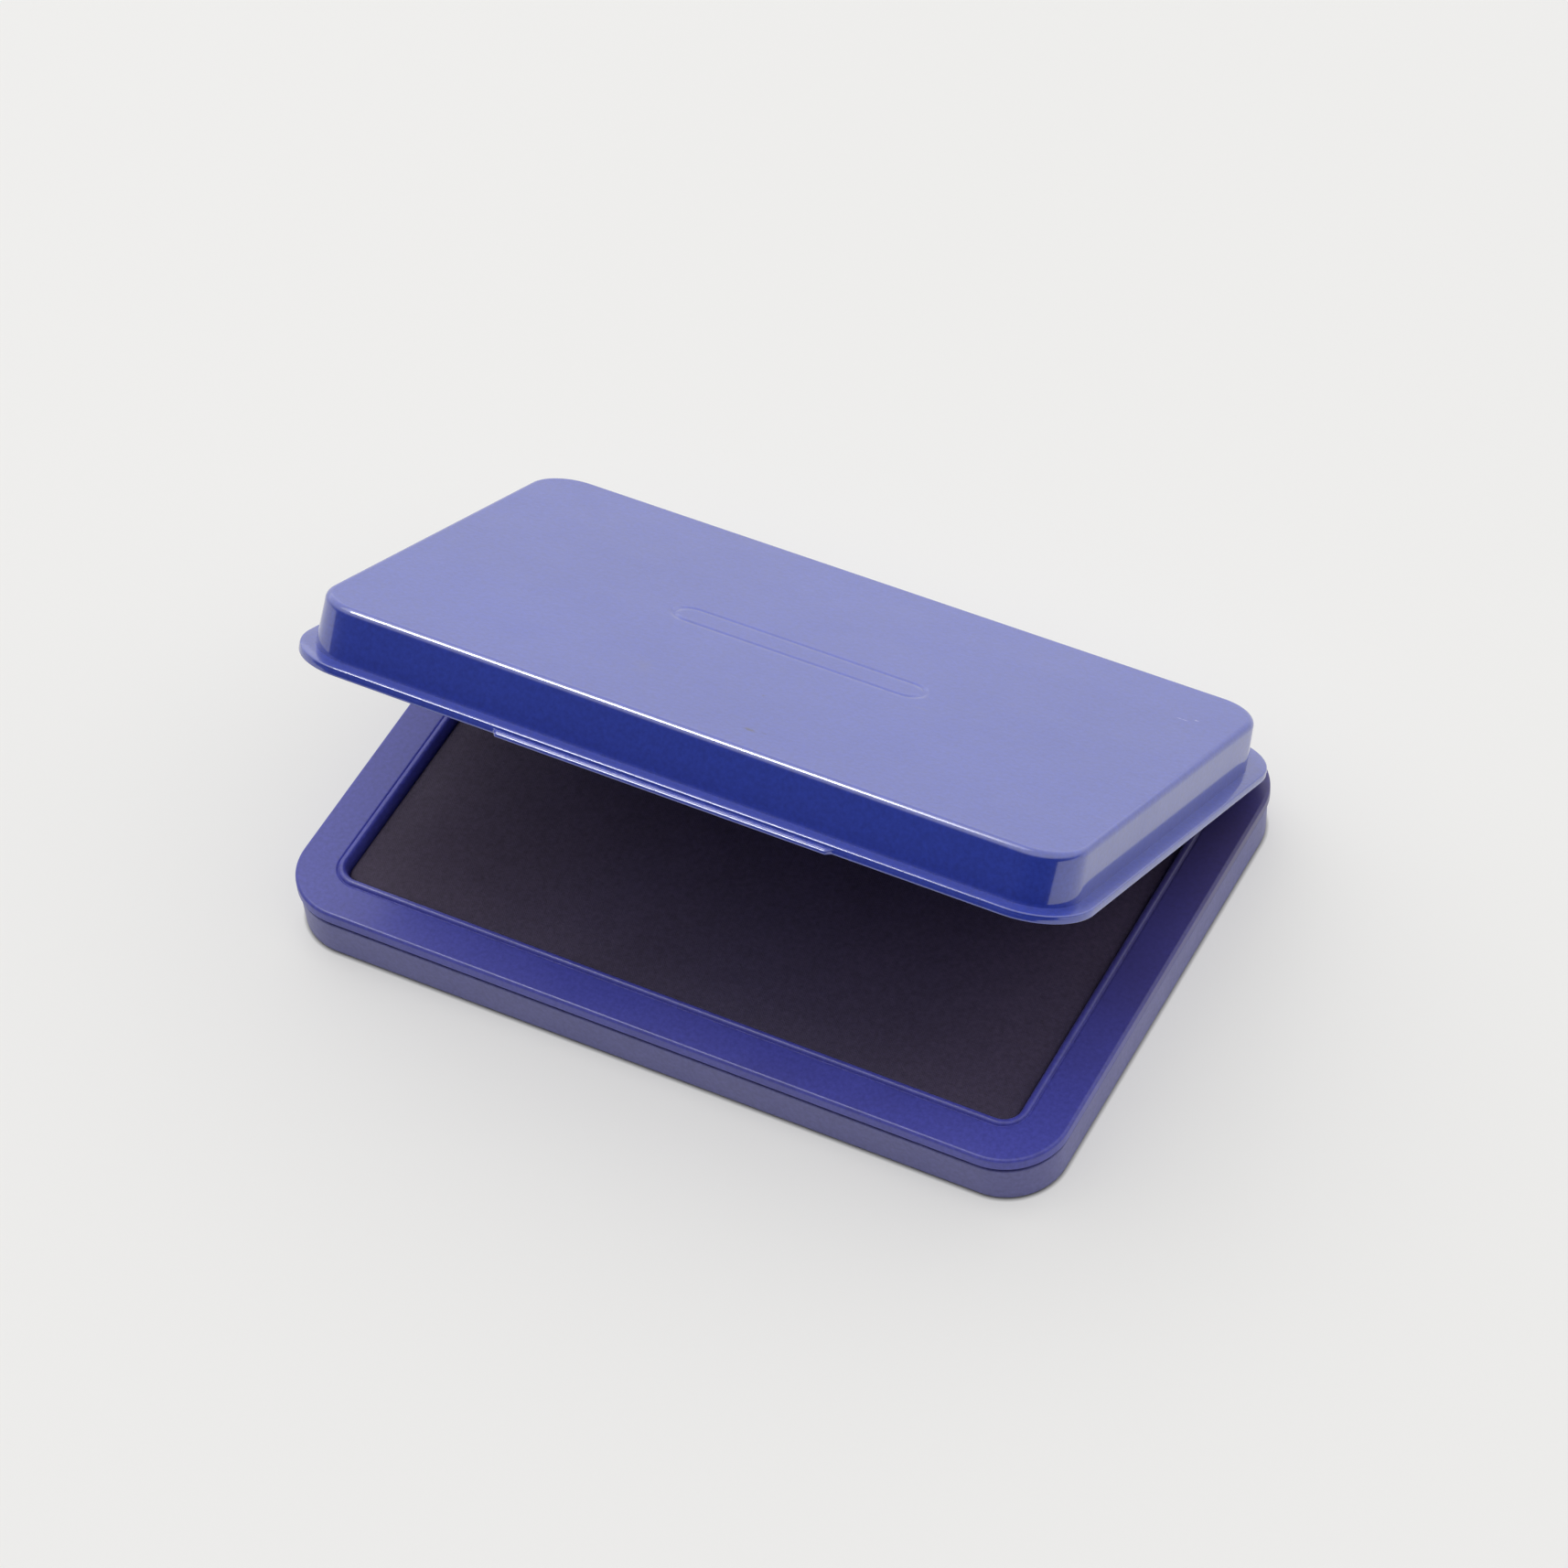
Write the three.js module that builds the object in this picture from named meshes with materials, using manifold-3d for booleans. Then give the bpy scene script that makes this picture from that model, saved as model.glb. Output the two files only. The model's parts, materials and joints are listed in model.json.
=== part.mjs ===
// Hinged ink pad: a pressed steel case with a wire-hinged lid and an ink-soaked cloth pad.
// Millimetres, +Z up. The origin is the centre of the tray's flat underside.
// +X is the case's right, -Y its front (thumb tab side), +Y its back (hinge side).
// The lid stands ajar at LID_OPEN_DEG; that is the joint's rest position.

import * as THREE from 'three';
import { ParametricGeometry } from 'three/addons/geometries/ParametricGeometry.js';
import { mergeVertices } from 'three/addons/utils/BufferGeometryUtils.js';
import Module from 'manifold-3d';

const wasm = await Module();
wasm.setup();

// ---------------------------------------------------------------- driving dimensions
const CASE_W = 122;            // case width, X
const CASE_D = 84;             // case depth, Y
const CASE_R = 9.5;            // corner radius of the case in plan
const FRAME_TOP = 9.3;         // height of the pad frame's flat top
const FRAME_SKIRT = 7.4;       // lower edge of the pad frame's skirt
const SHEET = 0.5;             // steel sheet thickness
const GAP = 0.3;               // clearance between neighbouring pieces

const OPENING_W = 106.9;       // pad opening in the frame, inside the bead
const OPENING_D = 69.0;
const OPENING_R = 2.4;
const BEAD_W = 1.3;            // raised bead round the opening
const BEAD_H = 0.25;

const TRAY_TOP = 7.1;          // shoulder of the lower tray, under the frame's skirt
const TRAY_LIP = 8.4;          // top of the joggled lip inside the skirt

const RIM_W = 122;             // lid rim
const RIM_FRONT = -41.1;       // front and back edges of the rim, lid shut
const RIM_BACK = 40.1;
const RIM_R = 9.6;
const RIM_H = 1.3;             // height of the rim's rolled edge
const LEDGE_SIDE = 2.25;       // ledge from rim edge to the foot of the wall
const LEDGE_FRONT = 2.2;
const LEDGE_BACK = 4.4;
const LEAN_SIDE = 0.25;        // how far each wall leans in from foot to top
const LEAN_FRONT = 0.85;
const LEAN_BACK = 0.9;
const WALL_R = 7.4;            // corner radius at the foot of the wall
const LID_H = 9.0;             // lid height, rim edge to flat top
const LID_FILLET = 0.95;       // between top and walls
const LID_SEAT = FRAME_TOP + GAP;   // rim edge height when shut
const TAB_W = 52.4;            // thumb tab on the front rim
const TAB_OUT = 1.0;

const HINGE_Y = 41.6;          // hinge axis, parallel to X
const HINGE_Z = 10.9;
const KNUCKLE_R = 1.2;         // outer radius of the rolled knuckles
const BORE_R = 0.65;           // bore of the knuckles
const PIN_R = 0.6;             // hinge wire
const HINGE_X = 36;            // centre of each hinge, left and right
const LEAF_W = 22;             // overall hinge length
const LID_KNUCKLE_W = 9;       // middle knuckle, on the lid's leaf

const LID_OPEN_DEG = 28.7;     // lid angle at rest

// ---------------------------------------------------------------- helpers
const CORNER_STEPS = 6;

// Points of a rounded rectangle, always the same count, so rings join one to one.
// cy moves its centre along Y.
function ring(hx, hy, r, z, cy = 0) {
  if (hx === 0) {
    return Array.from({ length: 4 * (CORNER_STEPS + 1) }, () => new THREE.Vector3(0, cy, z));
  }
  const pts = [];
  const corners = [[1, -1, -90], [1, 1, 0], [-1, 1, 90], [-1, -1, 180]];
  for (const [sx, sy, start] of corners) {
    for (let i = 0; i <= CORNER_STEPS; i++) {
      const a = THREE.MathUtils.degToRad(start + (90 * i) / CORNER_STEPS);
      pts.push(new THREE.Vector3(
        sx * (hx - r) + r * Math.cos(a),
        cy + sy * (hy - r) + r * Math.sin(a),
        z,
      ));
    }
  }
  return pts;
}

// Drop normals and uvs, weld vertices, remove collapsed triangles, turn faces outward.
function weld(geometry) {
  let g = geometry.index ? geometry : mergeVertices(geometry);
  g = g.clone();
  for (const name of Object.keys(g.attributes)) {
    if (name !== 'position') g.deleteAttribute(name);
  }
  g = mergeVertices(g, 1e-4);
  const idx = g.index.array;
  const p = g.attributes.position;
  const keep = [];
  let volume = 0;
  const a = new THREE.Vector3(), b = new THREE.Vector3(), c = new THREE.Vector3();
  for (let i = 0; i < idx.length; i += 3) {
    const [i0, i1, i2] = [idx[i], idx[i + 1], idx[i + 2]];
    if (i0 === i1 || i1 === i2 || i2 === i0) continue;
    keep.push(i0, i1, i2);
    a.fromBufferAttribute(p, i0);
    b.fromBufferAttribute(p, i1);
    c.fromBufferAttribute(p, i2);
    volume += a.dot(b.clone().cross(c));
  }
  if (volume < 0) {
    for (let i = 0; i < keep.length; i += 3) [keep[i + 1], keep[i + 2]] = [keep[i + 2], keep[i + 1]];
  }
  g.setIndex(keep);
  return g;
}

// A skin through a stack of rounded-rectangle rings. rows: [hx, hy, r, z, cy].
// closed: the last ring joins the first (a frame); otherwise both ends are poles (hx = 0).
function skin(rows, closed = false) {
  const rings = rows.map((q) => ring(...q));
  if (closed) rings.push(rings[0]);
  const n = rings[0].length;
  const m = rings.length - 1;
  const g = new ParametricGeometry((u, v, target) => {
    const i = Math.round(u * n) % n;
    const j = Math.round(v * m);
    target.copy(rings[j][i]);
  }, n, m);
  return weld(g);
}

function toSolid(geometry) {
  const g = weld(geometry);
  const vertProperties = new Float32Array(g.attributes.position.array);
  const triVerts = new Uint32Array(g.index.array);
  return new wasm.Manifold(new wasm.Mesh({ numProp: 3, vertProperties, triVerts }));
}

function fromSolid(solid) {
  const mesh = solid.getMesh();
  const g = new THREE.BufferGeometry();
  const n = mesh.vertProperties.length / mesh.numProp;
  const pos = new Float32Array(n * 3);
  for (let i = 0; i < n; i++) {
    for (let k = 0; k < 3; k++) pos[3 * i + k] = mesh.vertProperties[mesh.numProp * i + k];
  }
  g.setAttribute('position', new THREE.BufferAttribute(pos, 3));
  g.setIndex(Array.from(mesh.triVerts));
  return g;
}

// Extrude an outline drawn in the YZ plane along X, from x0 to x1. points: [y, z].
function alongX(points, x0, x1, holes = []) {
  const shape = new THREE.Shape(points.map(([y, z]) => new THREE.Vector2(y, z)));
  for (const h of holes) shape.holes.push(new THREE.Path(h.map(([y, z]) => new THREE.Vector2(y, z))));
  const g = new THREE.ExtrudeGeometry(shape, { depth: x1 - x0, bevelEnabled: false });
  g.applyMatrix4(new THREE.Matrix4().set(
    0, 0, 1, x0,
    1, 0, 0, 0,
    0, 1, 0, 0,
    0, 0, 0, 1,
  ));
  return g;
}

function arc(cy, cz, r, from, to, steps) {
  const pts = [];
  for (let i = 0; i <= steps; i++) {
    const a = THREE.MathUtils.degToRad(from + ((to - from) * i) / steps);
    pts.push([cy + r * Math.cos(a), cz + r * Math.sin(a)]);
  }
  return pts;
}

const paint = (color, roughness, metalness) => new THREE.MeshStandardMaterial({ color, roughness, metalness });

function node(name, geometry, material, parent) {
  const g = geometry.clone();
  g.computeVertexNormals();
  const mesh = new THREE.Mesh(g, material);
  mesh.name = name;
  parent.add(mesh);
  return mesh;
}

const inkPad = new THREE.Group();

// ---------------------------------------------------------------- lower tray
// Open pressed tray: flat floor, softly rounded foot, slight draft, and a joggled
// lip that reaches up inside the pad frame's skirt.
{
  const W = CASE_W / 2, D = CASE_D / 2, R = CASE_R;
  const o = (inset, z) => [W - inset, D - inset, Math.max(R - inset, 0.8), z];
  const lip = SHEET + GAP;
  const rows = [
    [0, 0, 0, 0],
    o(1.9, 0), o(1.25, 0.18), o(0.8, 0.55), o(0.62, 1.1),
    o(0.3, TRAY_TOP - 0.25), o(0.45, TRAY_TOP),
    o(lip, TRAY_TOP), o(lip, TRAY_LIP),
    o(lip + SHEET, TRAY_LIP), o(lip + SHEET, TRAY_TOP - SHEET),
    o(0.3 + SHEET + 0.15, TRAY_TOP - SHEET - 0.1),
    o(0.62 + SHEET, 1.3), o(1.9, SHEET),
    [0, 0, 0, SHEET],
  ];
  node('base_tray', skin(rows), paint(0x5d6093, 0.5, 0.2), inkPad);
}

// ---------------------------------------------------------------- pad frame
// Flat-topped rim of the case with a rolled outer edge, a raised bead round the
// opening and a flange turned down inside it.
{
  const W = CASE_W / 2, D = CASE_D / 2, R = CASE_R;
  const w = OPENING_W / 2, d = OPENING_D / 2, r = OPENING_R;
  const o = (inset, z) => [W - inset, D - inset, R - inset, z];
  const i = (out, z) => [w + out, d + out, r + out, z];
  const T = FRAME_TOP, S = SHEET;
  const rows = [
    o(0, FRAME_SKIRT), o(0, T - 0.8), o(0.1, T - 0.4), o(0.35, T - 0.12), o(0.8, T),
    i(BEAD_W, T), i(BEAD_W - 0.2, T + BEAD_H * 0.8), i(BEAD_W * 0.55, T + BEAD_H),
    i(0.25, T + 0.1), i(0, T - 0.35), i(0, FRAME_SKIRT),
    i(S, FRAME_SKIRT), i(S, T - 0.7), i(BEAD_W, T - S),
    o(S + 0.35, T - S), o(S, T - S - 0.35), o(S, FRAME_SKIRT),
  ];
  node('pad_frame', skin(rows, true), paint(0x4a4d9e, 0.36, 0.2), inkPad);
}

// ---------------------------------------------------------------- the pad, from the floor up
// Carrier board, ink-soaked felt core, top felt, and the woven cover drawn over them.
{
  const slab = (hx, hy, r, z0, z1, e = 0.3) => skin([
    [0, 0, 0, z0],
    [hx - e, hy - e, r, z0], [hx, hy, r, z0 + e], [hx, hy, r, z1 - e], [hx - e, hy - e, r, z1],
    [0, 0, 0, z1],
  ]);
  const cw = OPENING_W / 2 - GAP, cd = OPENING_D / 2 - GAP;
  node('pad_carrier', slab(cw + 1.2, cd + 1.2, 2.5, SHEET + GAP, 1.7, 0.1), paint(0x8d8a80, 0.85, 0), inkPad);
  node('ink_felt_core', slab(cw - 1.1, cd - 1.1, 2, 2.0, 5.0), paint(0x1d1a2c, 0.95, 0), inkPad);
  node('top_felt', slab(cw - 1.1, cd - 1.1, 2, 5.3, 7.3), paint(0x221f33, 0.95, 0), inkPad);
  const cloth = [
    [0, 0, 0, 8.2],
    [cw - 1.6, cd - 1.6, 1.6, 8.2], [cw - 0.5, cd - 0.5, 2.1, 7.95], [cw - 0.05, cd - 0.05, 2.2, 7.2], [cw, cd, 2.2, 6.4], [cw, cd, 2.2, 2.0],
    [cw - 0.6, cd - 0.6, 2.0, 2.0], [cw - 0.6, cd - 0.6, 2.0, 6.8], [cw - 1.0, cd - 1.0, 1.8, 7.6],
    [0, 0, 0, 7.6],
  ];
  node('pad_cloth', skin(cloth), paint(0x2e2938, 0.9, 0), inkPad);
}

// ---------------------------------------------------------------- hinges, base side
// Sheet leaf flat on the back of the tray, rolled into two knuckles; a wire pin
// runs through all three knuckles of each hinge.
function knuckleWithLeaf(leafOutline, x0, x1) {
  const eye = alongX(arc(HINGE_Y, HINGE_Z, KNUCKLE_R, 0, 345, 23), x0, x1,
    [arc(HINGE_Y, HINGE_Z, BORE_R, 0, 345, 23).reverse()]);
  const bore = alongX(arc(HINGE_Y, HINGE_Z, BORE_R, 0, 345, 23), x0 - 1, x1 + 1);
  const leaf = alongX(leafOutline, x0, x1);
  return toSolid(eye).add(toSolid(leaf).subtract(toSolid(bore)));
}

function baseLeaf(cx) {
  const x0 = cx - LEAF_W / 2, x1 = cx + LEAF_W / 2;
  const k0 = cx - LID_KNUCKLE_W / 2 - GAP, k1 = cx + LID_KNUCKLE_W / 2 + GAP;
  const yOut = HINGE_Y + KNUCKLE_R, yIn = yOut - SHEET;
  const upright = [[yIn, 7.6], [yOut, 7.6], [yOut, HINGE_Z], [yIn, HINGE_Z]];
  const plate = alongX([[yIn, 2.2], [yOut, 2.2], [yOut, 7.8], [yIn, 7.8]], x0, x1);
  return knuckleWithLeaf(upright, x0, k0).add(knuckleWithLeaf(upright, k1, x1)).add(toSolid(plate));
}

for (const [side, cx] of [['left', -HINGE_X], ['right', HINGE_X]]) {
  node(`base_hinge_leaf_${side}`, fromSolid(baseLeaf(cx)), paint(0x4a4d9e, 0.4, 0.3), inkPad);
  const pin = new THREE.CylinderGeometry(PIN_R, PIN_R, LEAF_W + 1.2, 24);
  pin.rotateZ(Math.PI / 2);
  pin.translate(cx, HINGE_Y, HINGE_Z);
  node(`hinge_pin_${side}`, weld(pin), paint(0xb9bcc2, 0.3, 0.9), inkPad);
}

// ---------------------------------------------------------------- lid
// Built shut, centred over the base, then turned about the hinge axis.
const lid = new THREE.Group();
{
  const z0 = LID_SEAT;
  const hx = RIM_W / 2, F = LID_FILLET, S = SHEET, top = LID_H;
  // a ring from its half width and its front and back edges
  const box = (half, front, back, r, z) => [half, (back - front) / 2, Math.max(r, 0.6), z0 + z, (front + back) / 2];
  const rim = (inset, z) => box(hx - inset, RIM_FRONT + inset, RIM_BACK - inset, RIM_R - inset, z);
  // t runs from the foot of the wall (0) to its top (1)
  const wall = (t, inset, z) => box(
    hx - LEDGE_SIDE - LEAN_SIDE * t - inset,
    RIM_FRONT + LEDGE_FRONT + LEAN_FRONT * t + inset,
    RIM_BACK - LEDGE_BACK - LEAN_BACK * t - inset,
    WALL_R - 0.6 * t - inset, z);
  const cy = (RIM_FRONT + RIM_BACK) / 2;
  const rows = [
    [0, 0, 0, z0 + top, cy],
    wall(1, F, top), wall(1, F * 0.5, top - F * 0.134), wall(1, F * 0.134, top - F * 0.5), wall(1, 0, top - F),
    wall(0.05, 0, RIM_H + 0.25), wall(0, -0.25, RIM_H),
    rim(0.75, RIM_H), rim(0.22, RIM_H - 0.22), rim(0, RIM_H - 0.7), rim(0.05, 0.1), rim(0.2, 0),
    rim(0.2 + S, 0), rim(0.2 + S, RIM_H - S), wall(0, S, RIM_H - S),
    wall(1, S, top - F), wall(1, S + (F - S) * 0.29, top - S - (F - S) * 0.29), wall(1, F, top - S),
    [0, 0, 0, z0 + top - S, cy],
  ];
  const shell = toSolid(skin(rows));

  // thumb tab: a lip standing forward of the rim's middle, with eased ends
  const x = TAB_W / 2, y = RIM_FRONT, e = 1.4;
  const tabShape = new THREE.Shape([
    new THREE.Vector2(-x, y + 0.4), new THREE.Vector2(-x, y - 0.1), new THREE.Vector2(-x + 0.5, y - TAB_OUT * 0.7),
    new THREE.Vector2(-x + e, y - TAB_OUT), new THREE.Vector2(x - e, y - TAB_OUT),
    new THREE.Vector2(x - 0.5, y - TAB_OUT * 0.7), new THREE.Vector2(x, y - 0.1), new THREE.Vector2(x, y + 0.4),
  ]);
  const tab = new THREE.ExtrudeGeometry(tabShape, { depth: 0.75, bevelEnabled: false });
  tab.translate(0, 0, z0 + 0.02);
  node('lid_shell', fromSolid(shell.add(toSolid(tab))), paint(0x5f66b8, 0.34, 0.25), lid);
}

// Lid-side leaf: lies on the rim's back ledge and rolls over into the middle knuckle.
function lidLeaf(cx) {
  const x0 = cx - LID_KNUCKLE_W / 2, x1 = cx + LID_KNUCKLE_W / 2;
  const zLow = LID_SEAT + RIM_H + GAP, zTop = zLow + SHEET;
  const yEnd = RIM_BACK - LEDGE_BACK + 0.6;
  return knuckleWithLeaf([[yEnd, zLow], [HINGE_Y, zLow], [HINGE_Y, zTop], [yEnd, zTop]], x0, x1);
}
for (const [side, cx] of [['left', -HINGE_X], ['right', HINGE_X]]) {
  node(`lid_hinge_leaf_${side}`, fromSolid(lidLeaf(cx)), paint(0x5f66b8, 0.4, 0.3), lid);
}

for (const mesh of lid.children) mesh.position.set(0, -HINGE_Y, -HINGE_Z);
lid.position.set(0, HINGE_Y, HINGE_Z);
lid.rotation.x = -THREE.MathUtils.degToRad(LID_OPEN_DEG);
inkPad.add(lid);

export default inkPad;
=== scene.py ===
import json
import math

import bmesh
import bpy
import numpy as np
from mathutils import Matrix, Vector, noise


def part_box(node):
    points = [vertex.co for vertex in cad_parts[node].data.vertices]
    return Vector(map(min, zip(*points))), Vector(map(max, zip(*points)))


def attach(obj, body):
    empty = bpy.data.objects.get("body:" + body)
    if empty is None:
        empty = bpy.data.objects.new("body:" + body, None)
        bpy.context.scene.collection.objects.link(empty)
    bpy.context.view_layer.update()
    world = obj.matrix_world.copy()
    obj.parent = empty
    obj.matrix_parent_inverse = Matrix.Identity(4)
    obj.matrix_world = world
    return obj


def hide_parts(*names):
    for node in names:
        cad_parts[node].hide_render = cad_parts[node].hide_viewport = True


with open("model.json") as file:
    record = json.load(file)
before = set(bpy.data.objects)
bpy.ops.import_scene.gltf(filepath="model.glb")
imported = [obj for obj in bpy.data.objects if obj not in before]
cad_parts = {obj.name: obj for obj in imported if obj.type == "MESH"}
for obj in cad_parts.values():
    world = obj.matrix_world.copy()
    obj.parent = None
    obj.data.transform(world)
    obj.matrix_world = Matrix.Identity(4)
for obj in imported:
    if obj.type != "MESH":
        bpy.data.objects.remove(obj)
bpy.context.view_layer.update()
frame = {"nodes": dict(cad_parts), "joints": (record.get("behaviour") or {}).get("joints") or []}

MM = 0.001

# ------------------------------------------------------------------ sizes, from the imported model
JOINT = frame["joints"][0]
HINGE_Y, HINGE_Z = JOINT["pos_m"][1] / MM, JOINT["pos_m"][2] / MM
OPEN = math.radians(-JOINT["range_deg"][0])        # how far the lid stands open at rest
frame_lo, frame_hi = (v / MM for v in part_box("pad_frame"))
HX, HY = frame_hi.x, frame_hi.y                    # half width and half depth of the case
CASE_R = 9.5
FRAME_TOP = 9.3
SKIRT = frame_lo.z
SHEET = 0.5
OPEN_X, OPEN_Y, OPEN_R = 106.9 / 2, 69.0 / 2, 2.4  # opening in the frame
BEAD_W, BEAD_H = 1.3, 0.34
RIM_F, RIM_B, RIM_R, RIM_H = -41.1, 40.1, 9.6, 1.3
SEAT = 9.6                                         # height of the lid's rim edge when shut
LID_H = 9.0
KNUCKLE_R, BORE_R, PIN_R = 1.2, 0.7, 0.6
HINGE_X, LEAF_W, LID_KNUCKLE_W = 36.0, 22.0, 9.0

K = 10                                             # facets in half a corner


# ------------------------------------------------------------------ mesh code
def spread(*runs):
    """Stations along a straight side: runs of (from, to, step), joined, each station once."""
    out = []
    for a, b, step in runs:
        n = max(1, round(abs(b - a) / step))
        out += [a + (b - a) * i / n for i in range(n)]
    return out + [runs[-1][1]]


def side(a, b, stations):
    """Stations scaled so that the first and last land on a and b, the ones between keeping their places."""
    s = list(stations)
    s[0], s[-1] = a, b
    return s


def ring(hx, y0, y1, r, z, xs, ys):
    """One rounded rectangle as a loop of points, anticlockwise from the middle of its front left corner."""
    r = max(r, 0.02)
    pts = []
    cx, cy0, cy1 = hx - r, y0 + r, y1 - r

    def arc(px, py, a0, a1, skip_last=True):
        for i in range(K + (0 if skip_last else 1)):
            a = math.radians(a0 + (a1 - a0) * i / K)
            pts.append((px + r * math.cos(a), py + r * math.sin(a), z))

    fx = side(-cx, cx, xs)
    fy = side(cy0, cy1, ys)
    arc(-cx, cy0, 225, 270)
    pts += [(x, y0, z) for x in fx[:-1]]
    arc(cx, cy0, 270, 315)
    arc(cx, cy0, 315, 360)
    pts += [(hx, y, z) for y in fy[:-1]]
    arc(cx, cy1, 0, 45)
    arc(cx, cy1, 45, 90)
    pts += [(x, y1, z) for x in fx[:0:-1]]
    arc(-cx, cy1, 90, 135)
    arc(-cx, cy1, 135, 180)
    pts += [(-hx, y, z) for y in fy[:0:-1]]
    arc(-cx, cy0, 180, 225)
    return pts


def rounded(rows, steps=6, guard=0.07):
    """rows: [half width, front, back, corner radius, z, cut]. Each row with a cut is turned into a round of
    that tangent length, with a guard row on both sides so that flat faces stay flat when shaded."""
    P = [np.array(q[:5], float) for q in rows]
    cut = [q[5] if len(q) > 5 else 0 for q in rows]
    out = []
    closed = np.allclose(P[0], P[-1])
    if closed:                                     # the repeated row only says that the ends meet
        P, cut = P[:-1], cut[:-1]
    n = len(P)
    for i, p in enumerate(P):
        if cut[i] <= 0 or ((i == 0 or i == n - 1) and not closed):
            out.append(p)
            continue
        a, b = P[i - 1], P[(i + 1) % n]
        la, lb = np.linalg.norm((a - p)[[0, 4]]), np.linalg.norm((b - p)[[0, 4]])
        ta, tb = min(cut[i] / la, 0.48), min(cut[i] / lb, 0.48)
        p0, p2 = p + (a - p) * ta, p + (b - p) * tb
        ua, ub = (a - p)[[0, 4]] / la, (b - p)[[0, 4]] / lb
        turn = math.acos(max(-1, min(1, -float(ua @ ub))))
        w = math.cos(turn / 2)
        if ta < 0.42:
            out.append(p + (a - p) * min(0.48, ta + guard / la))
        for j in range(steps + 1):
            t = j / steps
            k0, k1, k2 = (1 - t) ** 2, 2 * w * t * (1 - t), t * t
            out.append((p0 * k0 + p * k1 + p2 * k2) / (k0 + k1 + k2))
        if tb < 0.42:
            out.append(p + (b - p) * min(0.48, tb + guard / lb))
    return out


def cap_grid(hx, y0, y1, r, z, xs, ys):
    """The flat inside of a ring as a grid whose outline matches the ring's points."""
    g = 0.45 * max(r, 0.3)
    a, b0, b1 = hx - g, y0 + g, y1 - g
    c, d0, d1 = hx - r, y0 + r, y1 - r
    X = [-a + (a - c) * i / K for i in range(K)] + side(-c, c, xs) + [c + (a - c) * (i + 1) / K for i in range(K)]
    Y = [b0 + (d0 - b0) * i / K for i in range(K)] + side(d0, d1, ys) + [d1 + (b1 - d1) * (i + 1) / K for i in range(K)]
    return X, Y, z


def loft(name, rows, xs, ys, caps=(True, True), closed=False, move=None, sharp=50):
    """A closed skin through rounded rectangles. caps: fill the first and last ring with a grid.
    move(points) changes the points, an array in millimetres, before the mesh is made."""
    verts, faces = [], []
    loops = []
    for q in rows:
        pts = ring(*q[:5], xs, ys)
        loops.append(range(len(verts), len(verts) + len(pts)))
        verts += pts
    n = len(loops[0])
    pairs = list(zip(loops[:-1], loops[1:]))
    if closed:
        pairs.append((loops[-1], loops[0]))
    for a, b in pairs:
        for i in range(n):
            j = (i + 1) % n
            faces.append((a[i], a[j], b[j], b[i]))
    for end, want in ((0, caps[0]), (-1, caps[1])):
        if closed or not want:
            continue
        hx, y0, y1, r, z = rows[end][:5]
        X, Y, z = cap_grid(hx, y0, y1, r, z, xs, ys)
        nx, ny = len(X), len(Y)
        base = len(verts)
        verts += [(x, y, z) for y in Y for x in X]
        at = lambda i, j: base + j * nx + i
        for j in range(ny - 1):
            for i in range(nx - 1):
                faces.append((at(i, j), at(i + 1, j), at(i + 1, j + 1), at(i, j + 1)))
        edge = [at(i, 0) for i in range(nx - 1)] + [at(nx - 1, j) for j in range(ny - 1)]
        edge += [at(i, ny - 1) for i in range(nx - 1, 0, -1)] + [at(0, j) for j in range(ny - 1, 0, -1)]
        lp = loops[end]
        assert len(edge) == n, (name, len(edge), n)
        for i in range(n):
            j = (i + 1) % n
            faces.append((lp[i], lp[j], edge[j], edge[i]))
    co = np.array(verts, float)
    if move is not None:
        co = move(co)
    return solid(name, co, faces, sharp)


def solid(name, co, faces, sharp=50, merge=0.002):
    me = bpy.data.meshes.new(name)
    me.from_pydata([tuple(p) for p in np.asarray(co) * MM], [], [tuple(f) for f in faces])
    bm = bmesh.new()
    bm.from_mesh(me)
    bmesh.ops.remove_doubles(bm, verts=bm.verts, dist=merge * MM)
    bmesh.ops.dissolve_degenerate(bm, edges=bm.edges, dist=1e-8)
    bmesh.ops.recalc_face_normals(bm, faces=bm.faces)
    if bm.calc_volume(signed=True) < 0:
        bmesh.ops.reverse_faces(bm, faces=bm.faces)
    bm.to_mesh(me)
    bm.free()
    me.shade_smooth()
    me.set_sharp_from_angle(angle=math.radians(sharp))
    ob = bpy.data.objects.new(name, me)
    bpy.context.scene.collection.objects.link(ob)
    return ob


def swing(co):
    """Turns points of the shut lid about the hinge axis to where the lid stands at rest."""
    co = np.array(co, float)
    y, z = co[:, 1] - HINGE_Y, co[:, 2] - HINGE_Z
    c, s = math.cos(OPEN), math.sin(OPEN)
    co[:, 1], co[:, 2] = HINGE_Y + c * y + s * z, HINGE_Z - s * y + c * z
    return co


def smooth(t):
    t = np.clip(t, 0, 1)
    return t * t * (3 - 2 * t)


# ------------------------------------------------------------------ materials
def nodes_of(name):
    m = bpy.data.materials.new(name)
    m.use_nodes = True
    nt = m.node_tree
    return m, nt, nt.nodes["Principled BSDF"]


def lin(r, g, b):
    f = lambda c: c / 12.92 if c <= 0.04045 else ((c + 0.055) / 1.055) ** 2.4
    return (f(r / 255), f(g / 255), f(b / 255), 1)


def add(nt, kind, **props):
    n = nt.nodes.new(kind)
    for k, v in props.items():
        if k.startswith("in_"):
            n.inputs[k[3:].replace("_", " ")].default_value = v
        else:
            setattr(n, k, v)
    return n


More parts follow.
